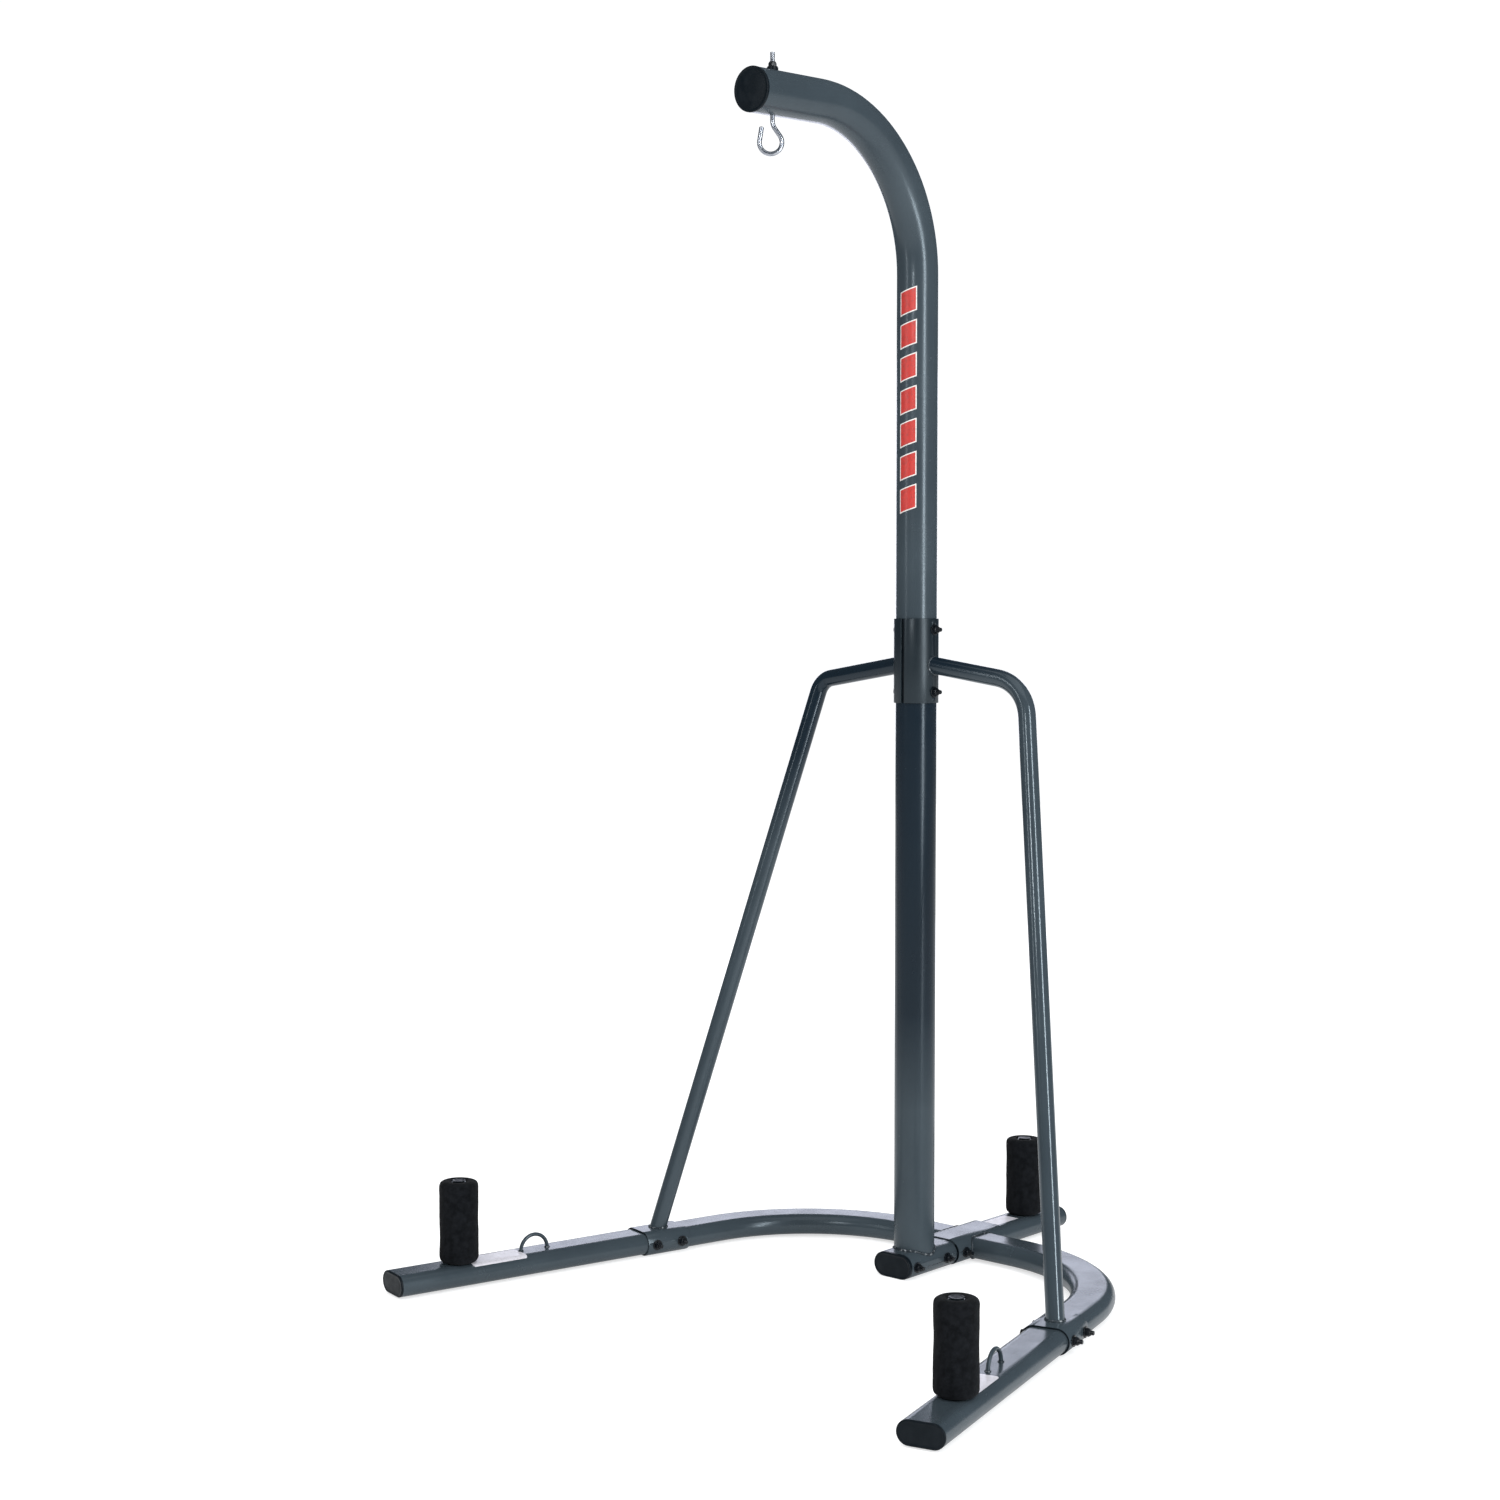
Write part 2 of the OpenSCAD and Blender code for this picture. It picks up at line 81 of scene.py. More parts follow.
# Base: oval tubes, their sleeves and the hub
SPLAY = math.radians(14)
LEG_TIP = Vector((600 * MM, POST_Y - 760 * MM, 0))
OVAL_W, OVAL_H = 80 * MM, 40 * MM
SLEEVE_W, SLEEVE_H = 86 * MM, 46 * MM
HUB_W, HUB_H = 92 * MM, 48 * MM
HUB_JOINT_Y = POST_Y + 160.82 * MM
TUBE_Z = 23 * MM
OVAL_TOP = TUBE_Z + OVAL_H / 2
SLEEVE_TOP = TUBE_Z + SLEEVE_H / 2
# Pegs, foam and tie rings
PEG_R, FOAM_R = 12.7 * MM, 35 * MM
RING_AT, RING_R, RING_ROD_R = 289 * MM, 28 * MM, 3.5 * MM
# Decal: turned this far round the post from the front
DECAL_BLOCKS, DECAL_BOTTOM, DECAL_PITCH, DECAL_TURN = 7, 1424 * MM, 60 * MM, math.radians(10)
DECAL_W, DECAL_H, DECAL_SLANT, DECAL_EDGE = 35 * MM, 44 * MM, 11 * MM, 2.1 * MM
# Labels: from and to along a leg from its tip, then across it
LABELS = {
    "label_left": (-1, 145 * MM, 258 * MM, -19 * MM, 33 * MM),
    "label_right": (1, 158 * MM, 245 * MM, -19 * MM, 26 * MM),
}
# Rail's label: from and to behind the hub, and half its width. Hub's painted shade line: from and to across the
# hub
RAIL_LABEL, RAIL_LABEL_HALF = (8 * MM, 82 * MM), 17 * MM
HUB_SHADE_LINE = (-27.5 * MM, -23 * MM)


# ---------- Materials ----------


class Shader:
    """A node material with a Principled surface, fed by noise in the object's own coordinates."""

    def __init__(self, name, color, metallic=0.0, roughness=0.5, **inputs):
        self.material = bpy.data.materials.new(name)
        self.material.use_nodes = True
        self.tree = self.material.node_tree
        self.surface = self.tree.nodes["Principled BSDF"]
        self.surface.inputs["Base Color"].default_value = (*color, 1)
        self.surface.inputs["Metallic"].default_value = metallic
        self.surface.inputs["Roughness"].default_value = roughness
        for key, value in inputs.items():
            self.surface.inputs[key.replace("_", " ")].default_value = value
        self.coords = self.add("ShaderNodeTexCoord").outputs["Object"]

    def add(self, kind, **values):
        node = self.tree.nodes.new(kind)
        for key, value in values.items():
            setattr(node, key, value)
        return node

    def link(self, a, b):
        self.tree.links.new(a, b)

    def noise(self, scale, detail=3.0, roughness=0.5):
        node = self.add("ShaderNodeTexNoise")
        node.inputs["Scale"].default_value = scale
        node.inputs["Detail"].default_value = detail
        node.inputs["Roughness"].default_value = roughness
        self.link(self.coords, node.inputs["Vector"])
        return node.outputs["Fac"]

    def cells(self, scale):
        node = self.add("ShaderNodeTexVoronoi")
        node.inputs["Scale"].default_value = scale
        self.link(self.coords, node.inputs["Vector"])
        return node.outputs["Distance"]

    def spread(self, value, low, high, start=0.3, end=0.7):
        node = self.add("ShaderNodeMapRange")
        node.inputs["From Min"].default_value = start
        node.inputs["From Max"].default_value = end
        node.inputs["To Min"].default_value = low
        node.inputs["To Max"].default_value = high
        self.link(value, node.inputs["Value"])
        return node.outputs["Result"]

    def shades(self, value, colors):
        node = self.add("ShaderNodeValToRGB")
        ramp = node.color_ramp
        while len(ramp.elements) < len(colors):
            ramp.elements.new(0.5)
        for element, (place, color) in zip(ramp.elements, colors, strict=True):
            element.position = place
            element.color = (*color, 1)
        self.link(value, node.inputs["Fac"])
        return node.outputs["Color"]

    def bumps(self, *layers):
        """Each layer is a height, its strength and its distance in metres."""
        normal = None
        for height, strength, distance in layers:
            node = self.add("ShaderNodeBump")
            node.inputs["Strength"].default_value = strength
            node.inputs["Distance"].default_value = distance
            self.link(height, node.inputs["Height"])
            if normal is not None:
                self.link(normal, node.inputs["Normal"])
            normal = node.outputs["Normal"]
        self.link(normal, self.surface.inputs["Normal"])

    def color(self, value):
        self.link(value, self.surface.inputs["Base Color"])

    def roughness(self, value):
        self.link(value, self.surface.inputs["Roughness"])


COAT_TONES = ((0.028, 0.038, 0.046), (0.035, 0.047, 0.056))
# Darker, bluer copy of the coat's tones: painted shade on the collar and the post's spigot.
SHADED_TONES = ((0.004, 0.0078, 0.0112), (0.0062, 0.0116, 0.0158))
# Tone the coat fades to: painted shade on the lower post's upper part and the braces' upper runs.
SHADE_TONE = (0.005, 0.0105, 0.017, 1)
COAT_TINT = (0.82, 0.93, 1.0, 1)


def powder_coat(name, tones, rough=(0.2, 0.29), gloss=0.42, fade=None):
    """Slate powder coat, faintly cloudy, with orange peel; it may fade darker between two heights, which is
    painted shade.
    """
    low, high = tones
    s = Shader(name, high, metallic=0.08, Specular_IOR_Level=gloss, Specular_Tint=COAT_TINT)
    cloud = s.shades(s.noise(7, 4), [(0.3, low), (0.7, high)])
    # Painted shade: the colour darkens towards the shade tone from the lower height to the upper one.
    if fade is not None:
        parts = s.add("ShaderNodeSeparateXYZ")
        s.link(s.coords, parts.inputs["Vector"])
        pale = s.add("ShaderNodeMix", data_type="RGBA")
        s.link(s.spread(parts.outputs["Z"], 1, 0, *fade), pale.inputs["Factor"])
        pale.inputs["A"].default_value = SHADE_TONE
        s.link(cloud, pale.inputs["B"])
        cloud = pale.outputs["Result"]
    s.color(cloud)
    s.roughness(s.spread(s.noise(16, 5, 0.6), *rough))
    s.bumps((s.noise(420, 2), 0.12, 0.0004), (s.noise(2200, 2), 0.06, 0.00015))
    return s.material


def coated_weld():
    """The same coat where it lies thin and shiny over a weld bead, with bare silvery specks."""
    s = Shader("coated_weld", (0.03, 0.038, 0.046), metallic=0.4)
    s.color(s.shades(s.noise(170, 3, 0.65), [(0.56, (0.022, 0.03, 0.037)), (0.7, (0.34, 0.36, 0.38))]))
    s.roughness(s.spread(s.noise(300, 3), 0.22, 0.42))
    s.bumps((s.noise(700, 3), 0.35, 0.0005))
    return s.material


def black_steel():
    """Black oxide on bolts, nuts and washers, rubbed a little lighter in patches."""
    s = Shader("black_steel", (0.004, 0.006, 0.008), metallic=0.1, Specular_IOR_Level=0.3)
    s.color(s.shades(s.noise(260, 4), [(0.5, (0.0025, 0.004, 0.006)), (0.78, (0.014, 0.017, 0.021))]))
    s.roughness(s.spread(s.noise(180, 4), 0.2, 0.36))
    s.bumps((s.noise(1500, 2), 0.15, 0.0002))
    return s.material


def black_plastic():
    """Moulded black end caps with a fine grain."""
    s = Shader("black_plastic", (0.003, 0.005, 0.008), Specular_IOR_Level=0.12)
    s.color(s.shades(s.noise(60, 4), [(0.35, (0.002, 0.0045, 0.007)), (0.7, (0.005, 0.008, 0.011))]))
    s.roughness(s.spread(s.noise(120, 4), 0.3, 0.46))
    s.bumps((s.noise(1800, 3), 0.3, 0.0002))
    return s.material


def zinc_steel():
    """Bright zinc plate with a slight blue cloud."""
    s = Shader("zinc_steel", (0.4, 0.42, 0.46), metallic=1.0)
    s.color(s.shades(s.noise(120, 4), [(0.3, (0.3, 0.32, 0.37)), (0.7, (0.5, 0.52, 0.55))]))
    s.roughness(s.spread(s.noise(300, 4), 0.18, 0.34))
    s.bumps((s.noise(900, 3), 0.2, 0.0002))
    return s.material


def closed_foam():
    """Near-black foam: open pores, a soft nap and a few scuffed, slightly greyer places."""
    dull = {"roughness": 0.92, "Sheen_Weight": 0.02, "Specular_IOR_Level": 0.05}
    s = Shader("closed_foam", (0.008, 0.009, 0.01), **dull)
    s.color(s.shades(s.noise(90, 5, 0.6), [(0.35, (0.0025, 0.003, 0.0038)), (0.75, (0.008, 0.009, 0.011))]))
    s.roughness(s.spread(s.noise(400, 3), 0.85, 1.0))
    s.bumps((s.noise(130, 4, 0.6), 0.5, 0.0012), (s.cells(1100), 0.55, 0.0006))
    return s.material


def vinyl(name, color, worn):
    """Printed film, a little worn."""
    s = Shader(name, color)
    s.color(s.shades(s.noise(240, 4, 0.6), [(0.38, worn), (0.5, color)]))
    s.roughness(s.spread(s.noise(60, 3), 0.28, 0.42))
    s.bumps((s.noise(900, 2), 0.1, 0.0002))
    return s.material


def pale_floor():
    """White floor lit from below as well, so that hardly any shadow shows, and dimmer in reflections."""
    s = Shader("pale_floor", (0.52, 0.52, 0.52), Specular_IOR_Level=0.0)
    s.surface.inputs["Emission Color"].default_value = (1, 1, 1, 1)
    glossy = s.add("ShaderNodeLightPath").outputs["Is Glossy Ray"]
    s.link(s.spread(glossy, 0.62, 0.26, 0, 1), s.surface.inputs["Emission Strength"])
    s.color(s.shades(s.noise(1.5, 3), [(0.3, (0.51, 0.51, 0.515)), (0.7, (0.53, 0.53, 0.53))]))
    s.roughness(s.spread(s.noise(12, 3), 0.85, 0.95))
    return s.material


COAT = powder_coat("powder_coat", COAT_TONES)
# The collar's coat is a shaded copy of the same coat: painted shade.
SHADED_COAT = powder_coat("powder_coat_painted_shade", SHADED_TONES, (0.32, 0.4), gloss=0.48)
# The post's and the braces' coats fade to painted shade above their given heights.
POST_COAT = powder_coat("powder_coat_post", COAT_TONES, gloss=0.3, fade=(310 * MM, 490 * MM))
BRACE_COATS = {
    "brace_left": powder_coat(
        "powder_coat_brace_left", COAT_TONES, (0.17, 0.23), fade=(780 * MM, 980 * MM)
    ),
    "brace_right": powder_coat(
        "powder_coat_brace_right", COAT_TONES, (0.12, 0.17), 0.52, fade=(1108 * MM, 1140 * MM)
    ),
}
WELD = coated_weld()
BLACK_STEEL = black_steel()
BLACK_PLASTIC = black_plastic()
ZINC = zinc_steel()
FOAM = closed_foam()
RED = vinyl("red_film", (0.4, 0.022, 0.016), (0.3, 0.024, 0.02))
WHITE = vinyl("white_film", (0.6, 0.58, 0.56), (0.45, 0.44, 0.42))
LABEL = vinyl("label_film", (0.5, 0.49, 0.53), (0.42, 0.41, 0.44))


# ---------- Mesh helpers ----------


def new_object(name, bm, material, body="stand", sharp=40):
    """Turns a bmesh into a smooth piece that rides on a body, sharp only at edges above the angle."""
    bmesh.ops.recalc_face_normals(bm, faces=bm.faces)
    mesh = bpy.data.meshes.new(name)
    bm.to_mesh(mesh)
    bm.free()
    mesh.materials.append(material)
    mesh.shade_smooth()
    mesh.set_sharp_from_angle(angle=math.radians(sharp))
    piece = bpy.data.objects.new(name, mesh)
    bpy.context.scene.collection.objects.link(piece)
    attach(piece, body)
    return piece


def loft(bm, rings, loop=False):
    """Joins rings of equal length with quads, and closes the two ends or joins them in a loop."""
    rows = [[bm.verts.new(p) for p in ring] for ring in rings]
    n = len(rows[0])
    for a, b in zip(rows, [*rows[1:], rows[0]] if loop else rows[1:], strict=False):
        for i in range(n):
            j = (i + 1) % n
            bm.faces.new((a[i], a[j], b[j], b[i]))
    if not loop:
        bm.faces.new(rows[0][::-1])
        bm.faces.new(rows[-1])


def oval_outline(width, height, inset=0.0, steps=14):
    """Points round an oval with flat top and bottom, in its own plane."""
    r = height / 2 - inset
    half = width / 2 - height / 2
    points = []
    for side in (1, -1):
        for i in range(steps + 1):
            a = math.radians(-90 + 180 * i / steps)
            points.append((side * (half + r * math.cos(a)), side * r * math.sin(a)))
    return points


def even_path(points, spacing):
    """Points every spacing metres along a polyline."""
    out, left = [Vector(points[0])], spacing
    for a, b in zip(points, points[1:], strict=False):
        a, b = Vector(a), Vector(b)
        run = (b - a).length
        while left <= run:
            out.append(a.lerp(b, left / run))
            left += spacing
        left -= run
    return out


def weld_bead(name, points, radius, ripple=2.6 * MM):
    """A closed bead of overlapping scallops along a path, a little uneven in width and line."""
    steps, sides = 4, 10
    path = even_path([*points, points[0]], ripple / steps)
    if (path[-1] - path[0]).length < ripple / (2 * steps):
        path.pop()
    rings = []
    for i, p in enumerate(path):
        heading = (path[(i + 1) % len(path)] - path[i - 1]).normalized()
        side = heading.cross(Vector((0, 0, 1)))
        side = side.normalized() if side.length > 0.05 else Vector((1, 0, 0))
        up = side.cross(heading).normalized()
        wobble = noise.noise(p * 160)
        r = radius * (0.86 + 0.2 * abs(math.sin(math.pi * i / steps)) + 0.12 * wobble)
        centre = p + up * radius * 0.1 * wobble
        turns = (math.tau * k / sides for k in range(sides))
        rings.append([centre + (side * math.cos(a) + up * math.sin(a)) * r for a in turns])
    bm = bmesh.new()
    loft(bm, rings, loop=True)
    new_object(name, bm, WELD, sharp=70)


def on_leg(side, lateral, along, z):
    """A point given across and along a leg from its tip, in the frame."""
    turn = Matrix.Rotation(side * SPLAY, 3, "Z")
    tip = Vector((side * LEG_TIP.x, LEG_TIP.y, z))
    return tip + turn @ Vector((lateral, along, 0))


def leg_matrix(side, along, z=0.0):
    return Matrix.Translation(on_leg(side, 0, along, z)) @ Matrix.Rotation(side * SPLAY, 4, "Z")


# ---------- Carried-over CAD nodes ----------

COATED = [
    "lower_post", "gooseneck", "post_spigot", "collar_left", "collar_right", "brace_left", "brace_right",
    "leg_sleeve_left", "leg_sleeve_right", "leg_left", "leg_right", "rear_tube_left", "rear_tube_right",
    "hub", "rail", "post_foot", "peg_left", "peg_right", "peg_rear", "tie_ring_left", "tie_ring_right",
]


def dress(node, material):
    mesh = nodes[node].data
    mesh.materials.clear()
    mesh.materials.append(material)


def paint_shade_on_ends(node, low=-1.0, high=1.0):
    """Paints shade on the cut ends of a sleeve, darker than the coat, between two heights from its axis."""
    mesh = nodes[node].data
    mesh.materials.append(BLACK_PLASTIC)
    side = {"leg_sleeve_left": -1, "leg_sleeve_right": 1}.get(node, 0)
    along = Matrix.Rotation(side * SPLAY, 3, "Z") @ Vector((0, 1, 0))
    for face in mesh.polygons:
        if abs(face.normal.dot(along)) > 0.99 and low < face.center.z - TUBE_Z < high:
            face.material_index = 1


def dress_frame():
    for node in COATED:
        dress(node, COAT)
    dress("lower_post", POST_COAT)
    # The collar and the spigot take the coat's painted-shade copy.
    for node in ("collar_left", "collar_right", "post_spigot"):
        dress(node, SHADED_COAT)
    for node, coat in BRACE_COATS.items():
        dress(node, coat)
    # Painted shade in the gaps at the mouths of the sleeves, the hub and the foot.
    paint_shade_on_ends("leg_sleeve_left", low=15 * MM)
    paint_shade_on_ends("leg_sleeve_right")
    paint_shade_on_ends("hub", high=17 * MM)
    paint_shade_on_ends("post_foot")
    for node in nodes:
        if node.endswith(("bolts", "nuts", "washers")) or node in ("hook_nut", "hook_washer"):
            dress(node, BLACK_STEEL)
        if "cap" in node or node == "hook_seat":
            dress(node, BLACK_PLASTIC)
        if node == "hook":
            dress(node, ZINC)
        if node.startswith("foam"):
            dress(node, FOAM)


# ---------- Turned and lofted pieces ----------


def circle(radius, z, steps=48):
    """Ring of points round +Z; the radius and the height are numbers, or functions of the angle."""
    points = []
    for i in range(steps):
        a = math.tau * i / steps
        r = radius(a) if callable(radius) else radius
        points.append(Vector((r * math.cos(a), r * math.sin(a), z(a) if callable(z) else z)))
    return points


def moved(points, matrix):
    return [matrix @ Vector(p) for p in points]


def lathe(bm, outline, matrix, steps=48, loop=False):
    """Turns an outline of radius and height round +Z. A loop outline makes a closed ring."""
    loft(bm, [moved(circle(r, z, steps), matrix) for r, z in outline], loop)


def rounded(radius, start, end, edge, steps=4):
    """Outline of a disc's outer edge from start to end, rounded at both."""
    points = []
    for k in range(steps + 1):
        a = math.radians(90 * k / steps)
        points.append((radius - edge + edge * math.sin(a), start + edge - edge * math.cos(a)))
    for k in range(steps + 1):
        a = math.radians(90 * k / steps)
        points.append((radius - edge + edge * math.cos(a), end - edge + edge * math.sin(a)))
    return points


# ---------- Bolts, nuts and washers ----------

HEX_ACROSS = 13 * MM
HEX_CROWN = 0.94 * HEX_ACROSS / 2
THREAD_R, THREAD_PITCH, THREAD_DEPTH = 4 * MM, 1.25 * MM, 0.45 * MM
HOOK_THREAD_R = THREAD_R + 0.25 * MM
HEAD_H, NUT_H, SPARE = 5.5 * MM, 8 * MM, 6 * MM
WASHER_R, HOOK_WASHER_R, WASHER_H = 10 * MM, 9 * MM, 2 * MM
# Bolts of the collar by height from its middle, of the legs from their tips, and of the base from the post
COLLAR_BOLTS = (-57.5 * MM, 57.5 * MM)
LEG_BOLTS = (536 * MM, 592 * MM)
FOOT_BOLTS = (-46 * MM, 46 * MM)
HUB_BOLTS = (102 * MM, 213 * MM)


def hex_radius(angle):
    return HEX_ACROSS / 2 / math.cos(angle % math.radians(60) - math.radians(30))


def chamfered(z, outward):
    """Height of a hexagon's edge where a thirty degree cone cuts its corners."""
    return lambda a: z - outward * (hex_radius(a) - HEX_CROWN) * math.tan(math.radians(30))


def thread_rings(start, end, radius=THREAD_R):
    """Rings of a helical thread, thinned at the far end."""
    step = THREAD_PITCH / 6
    count = max(2, round((end - start) / step))
    rings = []
    for k in range(count + 1):
        z = start + (end - start) * k / count
        fade = min(1.0, (end - z) / THREAD_PITCH)

        def flank(a, z=z, fade=fade):
            wave = abs(2 * ((z / THREAD_PITCH - a / math.tau) % 1) - 1)
            return radius - THREAD_DEPTH * (1 - fade * wave)

        rings.append(circle(flank, z))
    return rings


def bolt_rings(half):
    """Hexagon head, shank and thread of a bolt along +Z whose washers sit half a grip from the middle."""
    face = -half - WASHER_H
    top = face - HEAD_H
    end = half + WASHER_H + NUT_H + SPARE
    rings = [circle(0.6 * HEX_CROWN, top + 0.35 * MM), circle(0.72 * HEX_CROWN, top + 0.1 * MM)]
    rings += [circle(HEX_CROWN, top), circle(hex_radius, chamfered(top, -1))]
    rings += [circle(hex_radius, face - 0.2 * MM), circle(HEX_CROWN, face)]
    rings += [circle(THREAD_R * 0.97, face), circle(THREAD_R * 0.97, half)]
    rings += thread_rings(half + WASHER_H, end)
    return [*rings, circle(THREAD_R * 0.8, end + 0.2 * MM)]


def nut_rings(start):
    """Lock nut: a hexagon with a low round collar that holds the insert."""
    hexagon = start + 6 * MM
    rings = [circle(THREAD_R, start), circle(HEX_CROWN, start), circle(hex_radius, chamfered(start, -1))]
    rings += [circle(hex_radius, chamfered(hexagon, 1)), circle(HEX_CROWN, hexagon)]
    for inset, rise in ((0.1, 1.4), (0.5, 1.9), (1.1, 2)):
        rings.append(circle(HEX_CROWN - inset * MM, hexagon + rise * MM))
    return [*rings, circle(THREAD_R, hexagon + 1.7 * MM)]


def washer(bm, radius, start, end, matrix):
    outline = [(THREAD_R, start), *rounded(radius, start, end, 0.6 * MM), (THREAD_R, end)]
    lathe(bm, outline, matrix, loop=True)


def stand_in(node, bm, material, body="stand", sharp=35):
    """Detailed piece that replaces a node."""
    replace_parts(new_object(f"{node}_detail", bm, material, body, sharp), node)


def hardware(group, places):
    """Bolts, washers and nuts. A place is a bolt's frame, whose +X is the nut's side, and half its grip."""
    to_axis = Matrix.Rotation(math.radians(90), 4, "Y")
    bolts, washers, nuts = bmesh.new(), bmesh.new(), bmesh.new()
    for place, half in places:
        axis = place @ to_axis
        loft(bolts, [moved(ring, axis) for ring in bolt_rings(half)])
        loft(nuts, [moved(ring, axis) for ring in nut_rings(half + WASHER_H)])
        for start in (half, -half - WASHER_H):
            washer(washers, WASHER_R, start, start + WASHER_H, axis)
    for kind, bm in (("bolts", bolts), ("washers", washers), ("nuts", nuts)):
        stand_in(f"{group}_{kind}", bm, BLACK_STEEL, sharp=25)


def make_hardware():
    hardware("collar", [(Matrix.Translation((0, POST_Y, COLLAR_Z + z)), COLLAR_R) for z in COLLAR_BOLTS])
    hardware("leg", [(leg_matrix(side, s, TUBE_Z), SLEEVE_W / 2) for side in (-1, 1) for s in LEG_BOLTS])
    base = [(y, SLEEVE_W / 2) for y in FOOT_BOLTS] + [(y, HUB_W / 2) for y in HUB_BOLTS]
    hardware("base", [(Matrix.Translation((0, POST_Y + y, TUBE_Z)), half) for y, half in base])


# ---------- End caps ----------


def make_arm_cap():
    """Round cap pushed into the arm's end: a rolled rim round a low dome."""
    heading = Vector((0, -math.cos(ARM_DROOP), -math.sin(ARM_DROOP)))
    mouth = ARM_BEND_END + heading * ARM_RUN
    place = Matrix.Translation(mouth) @ heading.to_track_quat("Z", "Y").to_matrix().to_4x4()
    bm = bmesh.new()
    plug_r = ARM_R - 3 * MM
    outline = [(plug_r, -14 * MM), (plug_r, 0), (ARM_R, 0)]
    outline += rounded(ARM_R + 0.5 * MM, 0, 5 * MM, 1.3 * MM)[3:]
    dome = ((35.6, 4.7), (34.6, 4.1), (33, 4.2), (25, 5.0), (12, 5.7), (1, 5.9))
    lathe(bm, [*outline, *((r * MM, z * MM) for r, z in dome)], place, steps=72)
    stand_in("arm_cap", bm, BLACK_PLASTIC)


def oval_cap(node, place, width, height, thickness):
    """Cap in the end of an oval tube whose mouth faces -Y at the place's origin."""
    plug = [(4.4 * MM, 15 * MM), (2.6 * MM, 14 * MM), (2.6 * MM, 0)]
    face = [(0, 0), (0, 0.55), (0.3, 0.75), (1.0, 0.9), (2.2, 1.0)]
    face += [(3.2, 0.96), (4.2, 0.86), (6.0, 0.84), (10.0, 0.9)]
    rings = []
    for inset, y in [*plug, *((inset * MM, -part * thickness) for inset, part in face)]:
        points = oval_outline(width, height, inset, 20)
        rings.append([place @ Vector((x, y, TUBE_Z + z)) for x, z in points])
    bm = bmesh.new()
    loft(bm, rings)
    stand_in(node, bm, BLACK_PLASTIC)


def make_oval_caps():
    for side, word in SIDES:
        oval_cap(f"leg_cap_{word}", leg_matrix(side, 0), OVAL_W, OVAL_H, 4 * MM)
    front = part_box("post_foot")[0][1]
    oval_cap("front_cap", Matrix.Translation((0, front, 0)), SLEEVE_W, SLEEVE_H, 8 * MM)
    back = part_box("rail")[1][1]
    tail = Matrix.Translation((0, back, 0)) @ Matrix.Rotation(math.pi, 4, "Z")
    oval_cap("tail_cap", tail, OVAL_W, OVAL_H, 4 * MM)


def make_peg_caps():
    for word in ("left", "right", "rear"):
        node = f"peg_cap_{word}"
        centre = middle(node)
        rim = Vector((centre.x, centre.y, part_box(node)[1][2] - 3 * MM))
        outline = [(10.5 * MM, -9 * MM), (10.5 * MM, 0), *rounded(PEG_R, 0, 3 * MM, 0.9 * MM)[5:]]
        dome = ((9.5, 3.1), (8.8, 2.7), (6, 2.9), (0.5, 3.2))
        bm = bmesh.new()
        lathe(bm, [*outline, *((r * MM, z * MM) for r, z in dome)], Matrix.Translation(rim))
        stand_in(node, bm, BLACK_PLASTIC)


# ---------- Foam sleeves ----------

FOAM_SWELL = 2.2 * MM
FOAM_FULL_R = FOAM_R + 0.7 * MM
FOAM_BLANK_R = FOAM_R - 1.3 * MM
FOAM_BORE_R = 13.2 * MM
FOAM_EDGE = 9 * MM
SWELL_STEPS = 20
# The skin keeps its place up to the first radius and is free from the second
FOAM_HELD_R, FOAM_FREE_R = 15 * MM, 27 * MM
# Wide and narrow dents: waves per metre and depth; then the depth of the waist
DENTS = ((28, 0.9 * MM), (110, 0.35 * MM))
FOAM_WAIST = 0.35 * MM


def foam_blank(name, centre, length):
    """Turned sleeve with round edges, a little slimmer than it ends up."""
    outline = rounded(FOAM_BLANK_R, 0.4 * MM, length - 0.6 * MM, FOAM_EDGE, 6)
    outline = [(FOAM_BORE_R, 1.2 * MM), *outline, (FOAM_BORE_R, length - 1.6 * MM)]
    bm = bmesh.new()
    lathe(bm, outline, Matrix.Identity(4), steps=64, loop=True)
    bmesh.ops.recalc_face_normals(bm, faces=bm.faces)
    mesh = bpy.data.meshes.new(name)
    bm.to_mesh(mesh)
    bm.free()
    blank = bpy.data.objects.new(name, mesh)
    blank.location = centre
    bpy.context.scene.collection.objects.link(blank)
    return blank


def evaluated(piece):
    """Copy of a piece's mesh with its modifiers applied."""
    depsgraph = bpy.context.evaluated_depsgraph_get()
    return bpy.data.meshes.new_from_object(piece.evaluated_get(depsgraph))


def applied(piece):
    mesh = evaluated(piece)
    piece.modifiers.clear()
    old = piece.data
    piece.data = mesh
    bpy.data.meshes.remove(old)


def swell(piece):
    """Swells a closed skin by cloth pressure, and returns the points where it settles."""
    cloth = piece.modifiers.new("swell", "CLOTH")
    cloth.settings.quality = 6
    cloth.settings.mass = 0.3
    cloth.settings.tension_stiffness = 22
    cloth.settings.compression_stiffness = 22
    cloth.settings.shear_stiffness = 8
    cloth.settings.bending_stiffness = 3
    cloth.settings.use_pressure = True
    cloth.settings.uniform_pressure_force = 4
    cloth.settings.effector_weights.gravity = 0
    cloth.collision_settings.use_self_collision = False
    scene = bpy.context.scene
    for step in range(SWELL_STEPS):
        scene.frame_set(step + 1)
    settled = evaluated(piece)
    points = [v.co.copy() for v in settled.vertices]
    bpy.data.meshes.remove(settled)
    piece.modifiers.clear()
    scene.frame_set(1)
    return points


def growth(points, length):
    """How much the outer skin has to grow to reach its full radius."""
    waists = [math.hypot(p.x, p.y) for p in points if abs(p.z - length / 2) < 30 * MM]
    outer = [r for r in waists if r > 0.9 * max(waists)]
    return FOAM_FULL_R / (sum(outer) / len(outer)) - 1


